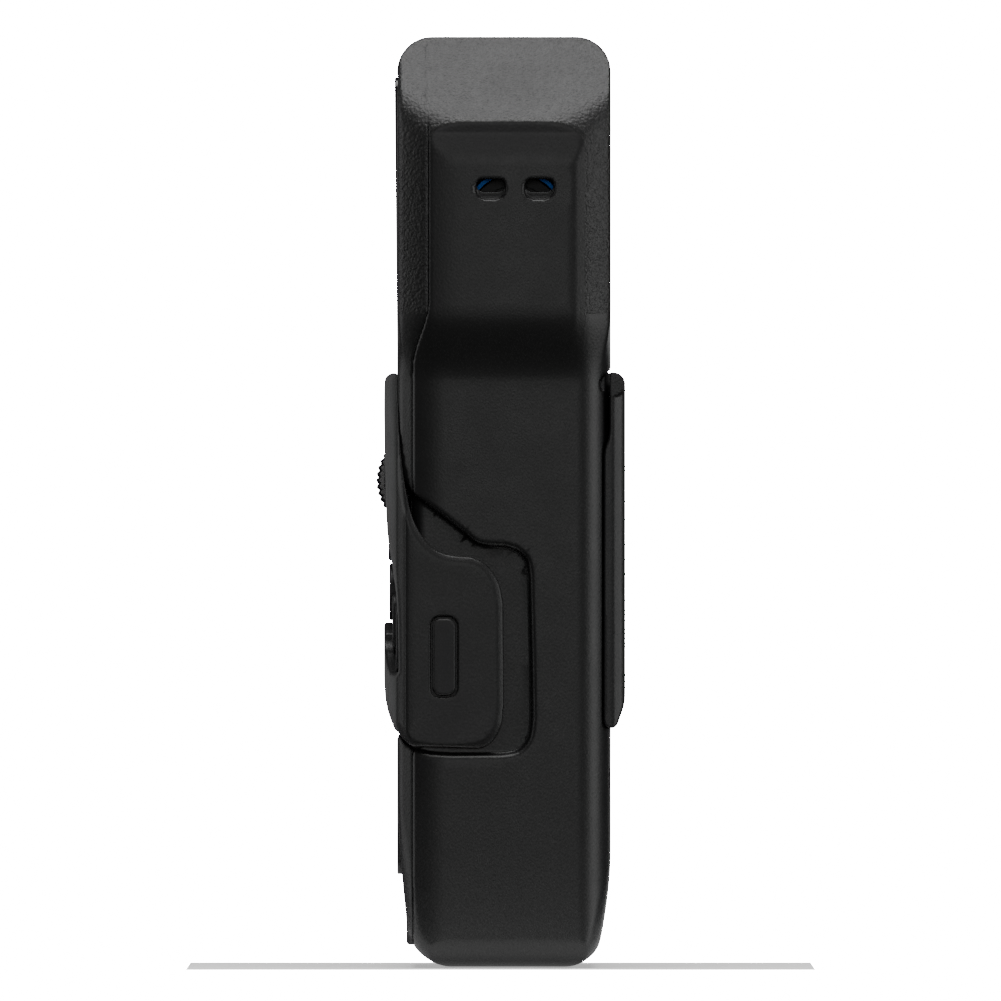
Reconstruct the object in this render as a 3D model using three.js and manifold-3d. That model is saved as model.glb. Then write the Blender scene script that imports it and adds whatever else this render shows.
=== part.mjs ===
// Portable field recorder: a hand-held two-piece housing with a wide microphone head, a wrap-round
// control cover on the front, a hinged battery door on the back, and the working parts inside.
//
// Frame: millimetres, +Z up. The origin is the middle of the base face. The front (display, wheel and
// keys) faces -Y, the battery door faces +Y, and X runs across the width.
import * as THREE from "three";
import { mergeVertices } from "three/addons/utils/BufferGeometryUtils.js";
import { ConvexGeometry } from "three/addons/geometries/ConvexGeometry.js";
import Module from "manifold-3d";

const wasm = await Module();
wasm.setup();

// ---------------------------------------------------------------- driving dimensions (millimetres)

const HEIGHT = 148.3; // base to the flat top
const BEZEL = -16.4; // front face of the housing
const BACK = 17.6; // back face of the housing
const HEAD_HALF = 31.0; // half width of the microphone head
const PANEL_EDGE = 30.4; // half width where the head's side panel meets its sloping surround
const GRIP_HALF = 28.5; // half width of the grip
const TOP_HALF = 18.0; // half width of the flat top between the sloping shoulders
const HEAD_SEAM = -11.4; // where the two shells part, in the head ...
const GRIP_SEAM = -13.9; // ... and in the grip
const WALL = 1.8; // housing wall
const BASE_WALL = 3.2; // housing wall at the base, where the flap is let in
const FLOOR_FRONT = -14.6; // front shell where the cover lies on it
const FLOOR_BACK = -12.8; // inside face of the front shell
const GAP = 0.3; // clearance between pieces that lie against each other
const SLIP = 0.08; // clearance in a turning or press fit
const THROUGH = 60; // longer than anything it cuts through

const GRIP_HIGH = 92.9; // top of the grip's straight sides
const HEAD_LOW = 104.7; // the head's straight sides run from here ...
const HEAD_HIGH = 128.0; // ... to here
const SHOULDER = 134.6; // lower edge of the sloping shoulders
const END_ROUND = 5.6; // round where the front and back meet the top
const CORNER_ROUND = 5.5; // round of the base corners seen from the front
const INNER_ROUND = 3.8; // round inside the top of the back wall

const PLATE = { front: -16.9, back: -15.5, seat: -15.2 }; // display window and speaker grille
const WINDOW = { z: 119.2, half: 23.9, high: 22.6, corner: 2.7 };
const GRILLE = { z: 24.1, half: 23.9, high: 9.4, corner: 2.3, rows: 7, pitch: 1.8, slot: 0.45 };
const DISPLAY = { half: 21.6, low: 100, high: 138.5, front: -13.9, back: -11.9, lip: 2.0 };
const COVER = { low: 34.4, high: 94.7, front: -18.8, out: 28.7, core: 27.1, corner: 2.6 };
const WHEEL = { y: -11.9, z: 77.5, r: 8.0, half: 4.0, teeth: 44, tooth: 0.45, bore: 1.35, axle: 1.2,
  hub: 3.2, rim: 1.8, web: 1.2, room: 0.6 };
const ENCODER = { x0: 6.0, x1: 10.8, front: -14.2, back: -9.4, half: 3.9 };
const CAPSULE = { y: 2.4, z: 118.5, r: 8.5, bore: 7.9, back: 17.0, out: 27.4 };
const BEAM = { half: 16.7, front: -2.6, back: 7.4, low: 111, high: 126, rail: 3.4 };
const PORT = { z: 124.5, y: [-1.55, 6.2], half: 2.25, high: 1.0, step: 0.15, stepHigh: 0.6, deep: 0.55 };

const KEY_TRAVEL = 0.8;
const KEY_STEM = 1.1;
const KEY_RIM = 0.45; // chamfer round a key's front
const KEYS = [
  // centre x and z, half width and half height, corner radius, front face
  { name: "key_mark", x: 0, z: 66.2, hx: 4.2, hz: 1.5, r: 1.4, front: -18.05 },
  { name: "key_record", x: 0, z: 59.7, hx: 4.6, hz: 4.6, r: 4.5, front: -17.9 },
  { name: "key_back", x: -10.8, z: 54.9, hx: 4.0, hz: 4.4, r: 2.4, front: -17.4 },
  { name: "key_forward", x: 10.8, z: 54.9, hx: 4.0, hz: 4.4, r: 2.4, front: -17.4 },
  { name: "key_stop", x: -20.2, z: 52.5, hx: 3.6, hz: 5.3, r: 2.4, front: -16.8 },
  { name: "key_play", x: 20.2, z: 52.5, hx: 3.6, hz: 5.3, r: 2.4, front: -16.8 },
];
const KEY_MAT = { z: 57.4, half: 24.2, high: 11.4, corner: 3, back: -11.5 };
const SIDE_KEY = { y: -9.0, z: 49.4, hy: 1.8, hz: 6.1, r: 1.3, out: 28.95, stem: 0.9, stemHigh: 3.2 };

const DOOR = { low: 37.8, back: 19.9, inner: 17.9, half: 26.9, skirt: 25.2, skirtFront: 16.4,
  skirtLow: 39.9, skirtHigh: 83.5, foot: 18.4, taper: 42, recess: 0.2 };
const HINGE = { y: 17.95, z: 92.8, r: 1.95, pin: 0.8, pinHalf: 23.6, barrel: 20.0, ear: 24.4,
  block: 26, front: 13.6, high: 96.4 };
const WELL = { half: 16.1, front: 2.2, low: 38.8, high: 91.4, wall: 1.7, floor: 2.2 };
const CELL = { r: 7.1, low: 40.3, long: 49.5, nub: 1.0, nubR: 2.7, x: 7.5, y: 9.6 };
const CONTACT = { thick: 0.4, half: 5, deep: 4.5, spring: 2.4, bridge: 13, bridgeDeep: 3.5, bridgeZ: 90.9 };
const LATCH = { half: 6.0, low: 45.0, high: 53.0, travel: 2.4, hook: 39.3, hookFront: 14.9,
  hookBack: 15.9, face: 19.0, thick: 0.55, rib: 0.35, ribHalf: 4.6, stem: 2.1, slot: 2.4, seat: 18.8 };
const TRIPOD = { z: 22.0, bore: 3.0, out: 4.5, front: 10.2, block: 6.4, wall: 1.4 };
const JACKS = [
  { name: "jack_phones", z: 11.6 },
  { name: "jack_line", z: 21.6 },
];
const JACK = { y: -4.0, bore: 1.75, out: 2.9, face: -28.2, half: 3.5, x0: -24.8, x1: -13, end: -14.4 };
const SLIDER = { y: 10.5, z: 68.0, travel: 4.0, half: 2.2, high: 4.4, corner: 0.7, in: -28.7, out: -29.6,
  rib: 0.3, stem: 0.9, foot: -24.1, footThick: 0.8 };
const SWITCH = { x0: -23.7, x1: -20.6, half: 2.6, below: 6, above: 10 };
const POST = { boss: 2.3, post: 3.0, split: -6, pilotEnd: -13.4 };
const POSTS = [
  { name: "case_screw_1", x: -22.0, z: 30.0 },
  { name: "case_screw_2", x: 22.0, z: 30.0 },
  { name: "case_screw_3", x: -24.3, z: 131.5 },
  { name: "case_screw_4", x: 24.3, z: 131.5 },
];
const SCREW = { shank: 1.0, head: 2.2, seat: 8.3, high: 1.8, tip: -13.1, cross: 1.3, slot: 0.3 };
const FLAP = { left: -11.5, right: 17.5, front: -8.6, y: -1.6, z: 1.35, r: 0.95, low: 0.2, top: 1.8,
  peg: 0.42, pegLong: 1.1, room: 2.5, plug: 0.6 };
const SPEAKER = { z: 24.5, r: 9.2, front: -12.5, flange: 1.0, deep: 3.5, cone: 6.8 };
const BOARD = { half: 23.6, low: 8, high: 97.5, front: -11.4, back: -9.8 };
const USB = { x0: -10, x1: -1, front: -6.3, back: -3.3, low: 2.8, high: 10, skin: 0.5 };
const CARD = { x: 9.5, half: 7.1, front: -7.2, back: -3.4, low: 3.5, high: 19, skin: 0.8, cardHalf: 5.5,
  cardZ: 10.4, cardHigh: 7.5, cardFront: -5.8, cardBack: -4.8 };

// ---------------------------------------------------------------- colours and finishes

const finish = (color, roughness, metalness = 0) =>
  new THREE.MeshStandardMaterial({ color, roughness, metalness });
const SHELL = finish(0x17181a, 0.55);
const SOFT = finish(0x141516, 0.7);
const GLOSS = finish(0x08090b, 0.15);
const RED = finish(0x9c1a18, 0.4);
const STEEL = finish(0xb8bcc0, 0.3, 1);
const DARK_STEEL = finish(0x3a3d42, 0.35, 1);
const BLUE_METAL = finish(0x4a7fb8, 0.25, 1);
const BRASS = finish(0xc09a4a, 0.35, 1);
const SOLDER_MASK = finish(0x14502e, 0.5);
const CELL_SKIN = finish(0x8a3b16, 0.35, 0.3);
const LIGHT = finish(0xe8e6dc, 0.4);

// ---------------------------------------------------------------- small geometry kit

// A closed three.js geometry as a manifold-3d solid.
function solid(geometry) {
  const g = geometry.clone();
  g.deleteAttribute("normal");
  g.deleteAttribute("uv");
  const merged = mergeVertices(g, 1e-5);
  return new wasm.Manifold(
    new wasm.Mesh({
      numProp: 3,
      vertProperties: merged.attributes.position.array,
      triVerts: new Uint32Array(merged.index.array),
    }),
  );
}

function geometryOf(manifold) {
  const m = manifold.getMesh();
  const g = new THREE.BufferGeometry();
  g.setAttribute("position", new THREE.BufferAttribute(new Float32Array(m.vertProperties), 3));
  g.setIndex(new THREE.BufferAttribute(new Uint32Array(m.triVerts), 1));
  g.computeVertexNormals();
  return g;
}

const cut = (from, ...tools) => tools.reduce((a, b) => a.subtract(b), from);
const join = (first, ...rest) => rest.reduce((a, b) => a.add(b), first);
const common = (first, ...rest) => rest.reduce((a, b) => a.intersect(b), first);
const mirrored = (s) => s.mirror([1, 0, 0]);
const bothSides = (s) => s.add(mirrored(s));
const onSide = (s, side) => (side > 0 ? s : mirrored(s));
const outlineOf = (pairs) => pairs.map(([u, v]) => new THREE.Vector2(u, v));

// Extrudes an outline: prismX takes (y, z) points, prismY (x, z) and prismZ (x, y).
function prism(points, depth, basis) {
  const g = new THREE.ExtrudeGeometry(new THREE.Shape(points), { depth, bevelEnabled: false });
  return solid(g.applyMatrix4(basis));
}
const ALONG = { x: new THREE.Vector3(1, 0, 0), y: new THREE.Vector3(0, 1, 0), z: new THREE.Vector3(0, 0, 1) };
function prismX(points, x0, x1) {
  const m = new THREE.Matrix4().makeBasis(ALONG.y, ALONG.z, ALONG.x).setPosition(x0, 0, 0);
  return prism(points, x1 - x0, m);
}
function prismY(points, y0, y1) {
  const m = new THREE.Matrix4().makeBasis(ALONG.x, ALONG.z, ALONG.y.clone().negate()).setPosition(0, y1, 0);
  return prism(points, y1 - y0, m);
}
function prismZ(points, z0, z1) {
  const m = new THREE.Matrix4().setPosition(0, 0, z0);
  return prism(points, z1 - z0, m);
}

function box(x0, x1, y0, y1, z0, z1) {
  const g = new THREE.BoxGeometry(x1 - x0, y1 - y0, z1 - z0);
  return solid(g.translate((x0 + x1) / 2, (y0 + y1) / 2, (z0 + z1) / 2));
}

// A box as wide to the left as to the right.
const slab = (half, y0, y1, z0, z1) => box(-half, half, y0, y1, z0, z1);

// A round bar along one axis, from a to b, at the other two coordinates in X, Y, Z order.
function bar(axis, r, a, b, p, q, sides = 20) {
  const g = new THREE.CylinderGeometry(r, r, b - a, sides);
  const mid = (a + b) / 2;
  if (axis === "x") g.rotateZ(-Math.PI / 2).translate(mid, p, q);
  if (axis === "y") g.translate(p, mid, q);
  if (axis === "z") g.rotateX(Math.PI / 2).translate(p, q, mid);
  return solid(g);
}

// A pipe along an axis, open at both ends.
const pipe = (axis, rOut, rIn, a, b, p, q, sides) =>
  cut(bar(axis, rOut, a, b, p, q, sides), bar(axis, rIn, a - 1, b + 1, p, q, sides));

// A rectangle with round corners, as outline points.
function pill(cx, cy, halfX, halfY, r, steps = 4) {
  const s = new THREE.Path();
  s.absarc(cx + halfX - r, cy + halfY - r, r, 0, Math.PI / 2);
  s.absarc(cx - halfX + r, cy + halfY - r, r, Math.PI / 2, Math.PI);
  s.absarc(cx - halfX + r, cy - halfY + r, r, Math.PI, 1.5 * Math.PI);
  s.absarc(cx + halfX - r, cy - halfY + r, r, 1.5 * Math.PI, 2 * Math.PI);
  s.closePath();
  return tidy(s.getPoints(steps));
}

// Drops points that repeat the one before.
function tidy(points) {
  const far = (a, b) => a.distanceTo(b) > 1e-4;
  const kept = points.filter((p, i) => i === 0 || far(p, points[i - 1]));
  return far(kept[0], kept[kept.length - 1]) ? kept : kept.slice(0, -1);
}

// ---------------------------------------------------------------- housing form

// A plan section of the housing from its half, front to back; the other half mirrors it.
const section = (half) => [...half, ...half.toReversed().map(([x, y]) => [-x, y])];
const HEAD_PLAN = section([[27.0, BEZEL], [28.0, -15.8], [PANEL_EDGE, HEAD_SEAM], [HEAD_HALF, -6.5],
  [HEAD_HALF, 11.5], [30.1, 13.9], [27.6, BACK]]);
const GRIP_PLAN = section([[26.4, BEZEL], [27.6, -15.6], [GRIP_HALF, GRIP_SEAM], [GRIP_HALF, 13.6],
  [27.9, 15.9], [26.2, BACK]]);
const BROW_PLAN = section([[26.4, BEZEL], [27.4, -15.8], [PANEL_EDGE, HEAD_SEAM], [PANEL_EDGE, 11.5],
  [29.8, 13.8], [26.9, BACK]]);
const TOP_PLAN = section([[17.0, BEZEL], [17.6, -15.6], [TOP_HALF, -14.6], [TOP_HALF, 14.6],
  [17.6, 16.4], [17.0, BACK]]);

// The straight-sided block between two sections.
function loft(planA, zA, planB, zB) {
  const at = (plan, z) => plan.map(([x, y]) => new THREE.Vector3(x, y, z));
  return solid(new ConvexGeometry([...at(planA, zA), ...at(planB, zB)]));
}

// The side outline of the housing, all round.
function sideOutline() {
  const r = END_ROUND;
  const s = new THREE.Path();
  s.moveTo(-9.5, 0);
  s.lineTo(11.2, 0);
  s.quadraticCurveTo(15.2, 0.4, 16.3, 4.4);
  s.lineTo(BACK, 9);
  s.absarc(BACK - r, HEIGHT - r, r, 0, Math.PI / 2);
  s.absarc(BEZEL + r, HEIGHT - r, r, Math.PI / 2, Math.PI);
  s.lineTo(BEZEL, 13.5);
  s.lineTo(-15.4, 5.8);
  s.quadraticCurveTo(-14.6, 0.4, -9.5, 0);
  s.closePath();
  return tidy(s.getPoints(6));
}

// The front outline: round base corners, and room for the head above the grip.
function frontOutline() {
  const r = CORNER_ROUND;
  const wide = HEAD_HALF + 1;
  const s = new THREE.Path();
  s.absarc(r - GRIP_HALF, r, r, Math.PI, 1.5 * Math.PI);
  s.absarc(GRIP_HALF - r, r, r, 1.5 * Math.PI, 2 * Math.PI);
  s.lineTo(wide, GRIP_HIGH);
  s.lineTo(wide, HEIGHT + 1);
  s.lineTo(-wide, HEIGHT + 1);
  s.lineTo(-wide, GRIP_HIGH);
  s.closePath();
  return tidy(s.getPoints(4));
}

// The outside of the closed housing, before anything is cut into it.
function housingForm() {
  const block = join(
    loft(GRIP_PLAN, 0, GRIP_PLAN, GRIP_HIGH),
    loft(GRIP_PLAN, GRIP_HIGH, HEAD_PLAN, HEAD_LOW),
    loft(HEAD_PLAN, HEAD_LOW, HEAD_PLAN, HEAD_HIGH),
    loft(HEAD_PLAN, HEAD_HIGH, BROW_PLAN, SHOULDER),
    loft(BROW_PLAN, SHOULDER, TOP_PLAN, HEIGHT),
  );
  return common(block, prismX(sideOutline(), -THROUGH, THROUGH),
    prismY(frontOutline(), -THROUGH, THROUGH));
}

// The back wall's inside, seen from the side, open to the front.
function cavitySide() {
  const inside = BACK - WALL;
  const top = HEIGHT - WALL;
  const s = new THREE.Path();
  s.moveTo(-THROUGH, BASE_WALL);
  s.lineTo(10.5, BASE_WALL);
  s.lineTo(14.2, 6);
  s.lineTo(inside, 11);
  s.absarc(inside - INNER_ROUND, top - INNER_ROUND, INNER_ROUND, 0, Math.PI / 2);
  s.lineTo(-THROUGH, top);
  s.closePath();
  return tidy(s.getPoints(5));
}

// The space inside, open to the front.
function cavity() {
  const plan = (half, back = half - 2.6) => section([[half, -THROUGH], [half, 12.6], [back, BACK - WALL]]);
  const grip = plan(COVER.core - WALL);
  const head = plan(PANEL_EDGE - WALL);
  const brow = plan(27.2, 24.2);
  const top = plan(TOP_HALF - WALL, TOP_HALF - WALL - 1);
  const block = join(
    loft(grip, BASE_WALL, grip, GRIP_HIGH),
    loft(grip, GRIP_HIGH, head, HEAD_LOW + 1),
    loft(head, HEAD_LOW + 1, head, HEAD_HIGH - 1),
    loft(head, HEAD_HIGH - 1, brow, SHOULDER),
    loft(brow, SHOULDER, top, HEIGHT - WALL),
  );
  return common(block, prismX(cavitySide(), -THROUGH, THROUGH));
}

// Everything in front of the crease where the shells part, moved by d along Y.
function frontOfSeam(d) {
  const points = [[-THROUGH, -5], [GRIP_SEAM, -5], [GRIP_SEAM, GRIP_HIGH], [HEAD_SEAM, HEAD_LOW],
    [HEAD_SEAM, HEIGHT + 5], [-THROUGH, HEIGHT + 5]];
  return prismX(outlineOf(points.map(([y, z]) => [y + d, z])), -THROUGH, THROUGH);
}

// ---------------------------------------------------------------- control cover

// What the cover wraps round, grown by d.
function coverCore(d) {
  const half = COVER.core + d;
  const front = FLOOR_FRONT - d;
  const r = COVER.corner;
  const s = new THREE.Path();
  s.moveTo(half, THROUGH);
  s.lineTo(-half, THROUGH);
  s.absarc(-half + r, front + r, r, Math.PI, 1.5 * Math.PI);
  s.absarc(half - r, front + r, r, 1.5 * Math.PI, 2 * Math.PI);
  s.closePath();
  return prismZ(tidy(s.getPoints(4)), 0, HEIGHT);
}

// The cover's back edge seen from the side, as the outline of everything in front of it.
function coverSide() {
  const s = new THREE.Path();
  s.moveTo(-THROUGH, COVER.high);
  s.lineTo(-16.5, COVER.high);
  s.splineThru(outlineOf([[-15.9, 84], [-15.1, 77], [-13.4, 71], [-10.6, 67.4], [-7.6, 66.3]]));
  s.lineTo(-4.6, 66.1);
  s.quadraticCurveTo(0.2, 65.4, 0.5, 58);
  s.lineTo(0.5, COVER.low + 7);
  s.quadraticCurveTo(0.3, COVER.low + 0.2, -7, COVER.low);
  s.lineTo(-THROUGH, COVER.low);
  s.closePath();
  return tidy(s.getPoints(4));
}

// The pocket the cover lies in, seen from the side.
function pocketSide() {
  const low = COVER.low - 0.8;
  const s = new THREE.Path();
  s.moveTo(-THROUGH, COVER.high + GAP);
  s.lineTo(-15.9, COVER.high + GAP);
  s.splineThru(outlineOf([[-15.4, 84], [-14.5, 77], [-12.6, 71.6], [-9.4, 68.4], [-4, 67.4]]));
  s.lineTo(0.7, 67.2);
  s.quadraticCurveTo(4.6, 67, 4.7, 63);
  s.lineTo(5.1, 38.4);
  s.quadraticCurveTo(5, low + 0.2, 0.4, low);
  s.lineTo(-THROUGH, low);
  s.closePath();
  return tidy(s.getPoints(3));
}

// What both shells lose to the cover and its pocket.
const coverWell = () => cut(prismX(pocketSide(), -THROUGH, THROUGH), coverCore(0));

// The scoop the front keys lie in: its floor falls away from the wheel, its lower edge arches.
function scoop() {
  const floor = outlineOf([[-THROUGH, 86], [COVER.front - 0.2, 86], [-18.15, 69.5], [-17.4, 64.6],
    [-16.45, 58], [-16.3, 44], [-THROUGH, 44]]);
  const half = [[0, 54.9], [5, 54.2], [10.8, 49.9], [20, 46.9], [25, 46.6]];
  const edge = [...half.toReversed().map(([x, z]) => [-x, z]), ...half.slice(1)];
  const arch = new THREE.Path();
  arch.moveTo(-THROUGH, 90);
  arch.lineTo(-THROUGH, 46.6);
  arch.splineThru(outlineOf(edge));
  arch.lineTo(THROUGH, 46.6);
  arch.lineTo(THROUGH, 90);
  arch.closePath();
  const deep = prismY(tidy(arch.getPoints(2)), -THROUGH, 0);
  return common(prismX(floor, -THROUGH, THROUGH), deep);
}

// The cover's outer shape in plan: gently curved across the front, then round onto the sides.
function coverPlan() {
  const out = COVER.out;
  const s = new THREE.Path();
  s.moveTo(out, THROUGH);
  s.lineTo(-out, THROUGH);
  s.lineTo(-out, -13.4);
  s.quadraticCurveTo(-28.3, -16.2, -25, -16.9);
  s.quadraticCurveTo(-12, COVER.front, 0, COVER.front);
  s.quadraticCurveTo(12, COVER.front, 25, -16.9);
  s.quadraticCurveTo(28.3, -16.2, out, -13.4);
  s.closePath();
  return tidy(s.getPoints(4));
}

function controlCover() {
  const profile = outlineOf([[COVER.front, 92.9], [-18.2, 94.1], [-17.4, COVER.high],
    [THROUGH, COVER.high], [THROUGH, COVER.low], [-15.7, COVER.low], [-16.9, 37.5], [-18.0, 40.4],
    [-18.6, 43.6], [COVER.front, 46.5]]);
  const shape = common(prismZ(coverPlan(), COVER.low - 1, COVER.high + 1),
    prismX(profile, -THROUGH, THROUGH), prismX(coverSide(), -THROUGH, THROUGH));
  const slot = pill(0, WHEEL.z, WHEEL.half + WHEEL.room, WHEEL.r + WHEEL.room, 1.5);
  return cut(shape, coverCore(GAP), scoop(), prismY(slot, -THROUGH, 0),
    sideKeyPrism(GAP, COVER.core - 1, THROUGH), ...KEYS.map((k) => keyPrism(k, GAP)));
}

// ---------------------------------------------------------------- keys

// A front key's outline grown by d, from the front down to where the cap ends.
function keyPrism(k, d, front = -THROUGH, back = FLOOR_FRONT) {
  return prismY(pill(k.x, k.z, k.hx + d, k.hz + d, k.r + d, 3), front, back);
}

function frontKey(k) {
  const capEnd = FLOOR_FRONT - KEY_TRAVEL;
  const cap = keyPrism(k, 0, k.front, capEnd - GAP);
  const stem = bar("y", KEY_STEM, capEnd - 1, FLOOR_BACK, k.x, k.z, 10);
  return join(cut(cap, keyEdge(k)), stem);
}

// Takes the sharp edge off a key's front.
function keyEdge(k) {
  const rim = KEY_RIM;
  const band = keyPrism(k, 1, k.front, k.front + rim);
  const ring = (d, y) => pill(k.x, k.z, k.hx - d, k.hz - d, k.r - d, 3)
    .map((p) => new THREE.Vector3(p.x, y, p.y));
  return cut(band, solid(new ConvexGeometry([...ring(0, k.front + rim), ...ring(rim, k.front)])));
}

// Both side keys' outlines grown by d, between two distances from the middle.
function sideKeyPrism(d, from, to) {
  const k = SIDE_KEY;
  return bothSides(prismX(pill(k.y, k.z, k.hy + d, k.hz + d, k.r + d), from, to));
}

function sideKey(side) {
  const k = SIDE_KEY;
  const cap = prismX(pill(k.y, k.z, k.hy, k.hz, k.r), COVER.core + 0.9, k.out);
  const stem = box(COVER.core - 3, COVER.core + 1, k.y - k.stem, k.y + k.stem,
    k.z - k.stemHigh, k.z + k.stemHigh);
  return onSide(join(cap, stem), side);
}

// ---------------------------------------------------------------- shells

// The sound slots in the head's sides: a hole in the upper part of a shallow step.
function soundPorts() {
  const p = PORT;
  const slots = p.y.map((y) => join(
    prismX(pill(y, p.z, p.half, p.high, p.high - SLIP, 3), COVER.core, HEAD_HALF + 1),
    prismX(pill(y, p.z - p.stepHigh, p.half + p.step, p.high + p.stepHigh, p.high, 3),
      HEAD_HALF - p.deep, HEAD_HALF + 1),
  ));
  return bothSides(join(...slots));
}

// The opening for the wheel and, beside it, its encoder.
const wheelHole = () => box(-WHEEL.half - WHEEL.room, 12.5, FLOOR_FRONT - 1, FLOOR_BACK + 1, 67.4, 87.6);

// The seat of a front plate, just larger than the plate.
function plateSeat(plate) {
  const outline = pill(0, plate.z, plate.half + GAP, plate.high + GAP, plate.corner + GAP);
  return prismY(outline, -THROUGH, PLATE.seat);
}

function frontShell(form, hollow) {
  const d = DISPLAY;
  const inside = common(hollow, slab(COVER.core - WALL - 0.4, GRIP_SEAM - 1, FLOOR_BACK,
    BASE_WALL + GAP, HEAD_LOW - 1));
  const bosses = POSTS.map((p) => bar("y", POST.boss, FLOOR_FRONT + 0.5, POST.split, p.x, p.z, 14));
  const pilots = POSTS.map((p) => bar("y", SCREW.shank + SLIP, POST.pilotEnd, POST.split + 1, p.x, p.z, 12));
  const stems = KEYS.map((k) => bar("y", KEY_STEM + GAP, -THROUGH, 0, k.x, k.z, 10));
  const cheek = box(-8.6, -6.4, FLOOR_FRONT + 0.4, -9.2, 73.9, 81.1);
  const shell = cut(join(common(form, frontOfSeam(0)), inside), plateSeat(WINDOW), plateSeat(GRILLE),
    slab(d.half - d.lip, -THROUGH, 0, d.low + d.lip, d.high - d.lip),
    slab(d.half + GAP, d.front - GAP, 0, d.low - GAP, d.high + GAP),
    coverWell(), wheelHole(), bar("y", SPEAKER.r - 1.2, -THROUGH, 0, 0, SPEAKER.z, 24), ...stems);
  return cut(join(shell, cheek, ...bosses), ...pilots,
    bar("x", WHEEL.axle + SLIP, -9, 12.5, WHEEL.y, WHEEL.z, 16));
}

// The solid parts added inside the rear shell.
function rearInnards() {
  const w = WELL;
  const t = TRIPOD;
  const deep = BACK - 0.5;
  return join(
    slab(w.half + w.wall, w.front - w.wall, BACK, w.low - w.floor, w.high + 1.8),
    slab(HINGE.block, HINGE.front, BACK, w.high, HINGE.high),
    slab(t.block, t.front - t.wall, deep, t.z - t.block, t.z + t.block),
    ...POSTS.map((p) => bar("y", POST.post, POST.split + GAP, deep, p.x, p.z, 16)),
  );
}

// What the battery door, its hinge, the cells and the latch need cut out of the rear shell.
function doorSide() {
  const w = WELL;
  return join(
    slab(THROUGH, BACK - DOOR.recess, THROUGH, DOOR.low - GAP, COVER.high + GAP),
    bar("x", HINGE.r + GAP, -HINGE.barrel - GAP, HINGE.barrel + GAP, HINGE.y, HINGE.z, 20),
    slab(HINGE.block + 0.2, DOOR.inner - 1.2, THROUGH, HINGE.z - 3, COVER.high + GAP),
    bothSides(box(DOOR.skirt - GAP, THROUGH, DOOR.skirtFront - GAP, THROUGH,
      DOOR.skirtLow - GAP, DOOR.skirtHigh + GAP)),
    slab(w.half, w.front, THROUGH, w.low, w.high),
    slab(LATCH.stem + 0.5, LATCH.hookFront - GAP, LATCH.hookBack + GAP, w.low - 2.4, w.low + 1),
  );
}

// The openings in the rear shell's base: the flap's recess and the two sockets behind it.
function baseSide() {
  const f = FLAP;
  return join(
    box(f.left - GAP, f.right + GAP, f.front - GAP, f.y + f.r + GAP, -1, f.room),
    bar("x", f.peg + SLIP, f.left - f.pegLong - GAP, f.right + f.pegLong + GAP, f.y, f.z, 10),
    box(USB.x0 - GAP, USB.x1 + GAP, USB.front - GAP, USB.back + GAP, -1, 6),
    box(3.3, 15.7, -6.4, -4.2, -1, 6),
  );
}

// The openings in the rear shell's flanks: sockets, slider and side keys.
function flankSide() {
  const s = SLIDER;
  const k = SIDE_KEY;
  return join(
    ...JACKS.map((j) => bar("x", JACK.out + GAP, -THROUGH, -20, JACK.y, j.z, 20)),
    box(-THROUGH, -20, s.y - s.stem - GAP, s.y + s.stem + GAP, s.z - 4, s.z + s.travel + 2.5),
    bothSides(box(20, THROUGH, k.y - k.stem - GAP, k.y + k.stem + GAP,
      k.z - k.stemHigh - GAP, k.z + k.stemHigh + GAP)),
    soundPorts(),
  );
}

function rearShell(form, hollow) {
  const body = join(cut(form, frontOfSeam(2 * SLIP), hollow), common(form, rearInnards()));
  const screws = POSTS.flatMap((p) => [
    bar("y", SCREW.shank + GAP, -THROUGH, THROUGH, p.x, p.z, 12),
    bar("y", SCREW.head + GAP, SCREW.seat, THROUGH, p.x, p.z, 16),
  ]);
  const insert = bar("y", TRIPOD.out + 2 * SLIP, TRIPOD.front - GAP, THROUGH, 0, TRIPOD.z, 24);
  const opened = cut(body, doorSide(), coverWell(), baseSide(), flankSide(), insert, ...screws);
  const ears = bothSides(bar("x", HINGE.r, HINGE.barrel + GAP, HINGE.ear, HINGE.y, HINGE.z, 20));
  return cut(join(opened, ears),
    bothSides(bar("x", HINGE.pin + SLIP, HINGE.barrel - 1, HINGE.pinHalf + 0.4, HINGE.y, HINGE.z, 12)));
}

// ---------------------------------------------------------------- plates on the front

function frontPlate(plate) {
  return prismY(pill(0, plate.z, plate.half, plate.high, plate.corner, 5), PLATE.front, PLATE.back);
}

const displayModule = () => slab(DISPLAY.half, DISPLAY.front, DISPLAY.back, DISPLAY.low, DISPLAY.high);

function speakerGrille() {
  const g = GRILLE;
  const slots = Array.from({ length: g.rows }, (_, i) => {
    const dz = (i - (g.rows - 1) / 2) * g.pitch;
    const half = Math.sqrt((SPEAKER.r - 2) ** 2 - dz ** 2);
    return prismY(pill(0, SPEAKER.z + dz, half, g.slot, g.slot - 0.01, 1), -THROUGH, 0);
  });
  return cut(frontPlate(g), ...slots);
}

// ---------------------------------------------------------------- thumbwheel

// The knurled rim's outline: a flat-topped tooth and a groove, all round.
function knurl() {
  const w = WHEEL;
  const step = (2 * Math.PI) / w.teeth;
  const at = (r, a) => new THREE.Vector2(w.y + r * Math.cos(a), w.z + r * Math.sin(a));
  return Array.from({ length: w.teeth }, (_, i) => i * step)
    .flatMap((a) => [at(w.r, a - 0.22 * step), at(w.r, a + 0.22 * step), at(w.r - w.tooth, a + 0.5 * step)]);
}

function thumbwheel() {
  const w = WHEEL;
  const dish = pipe("x", w.r - w.rim, w.hub, w.web, w.half + 1, w.y, w.z, 24);
  return cut(prismX(knurl(), -w.half, w.half), bothSides(dish),
    bar("x", w.bore, -w.half - 1, w.half + 1, w.y, w.z, 16));
}

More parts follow.
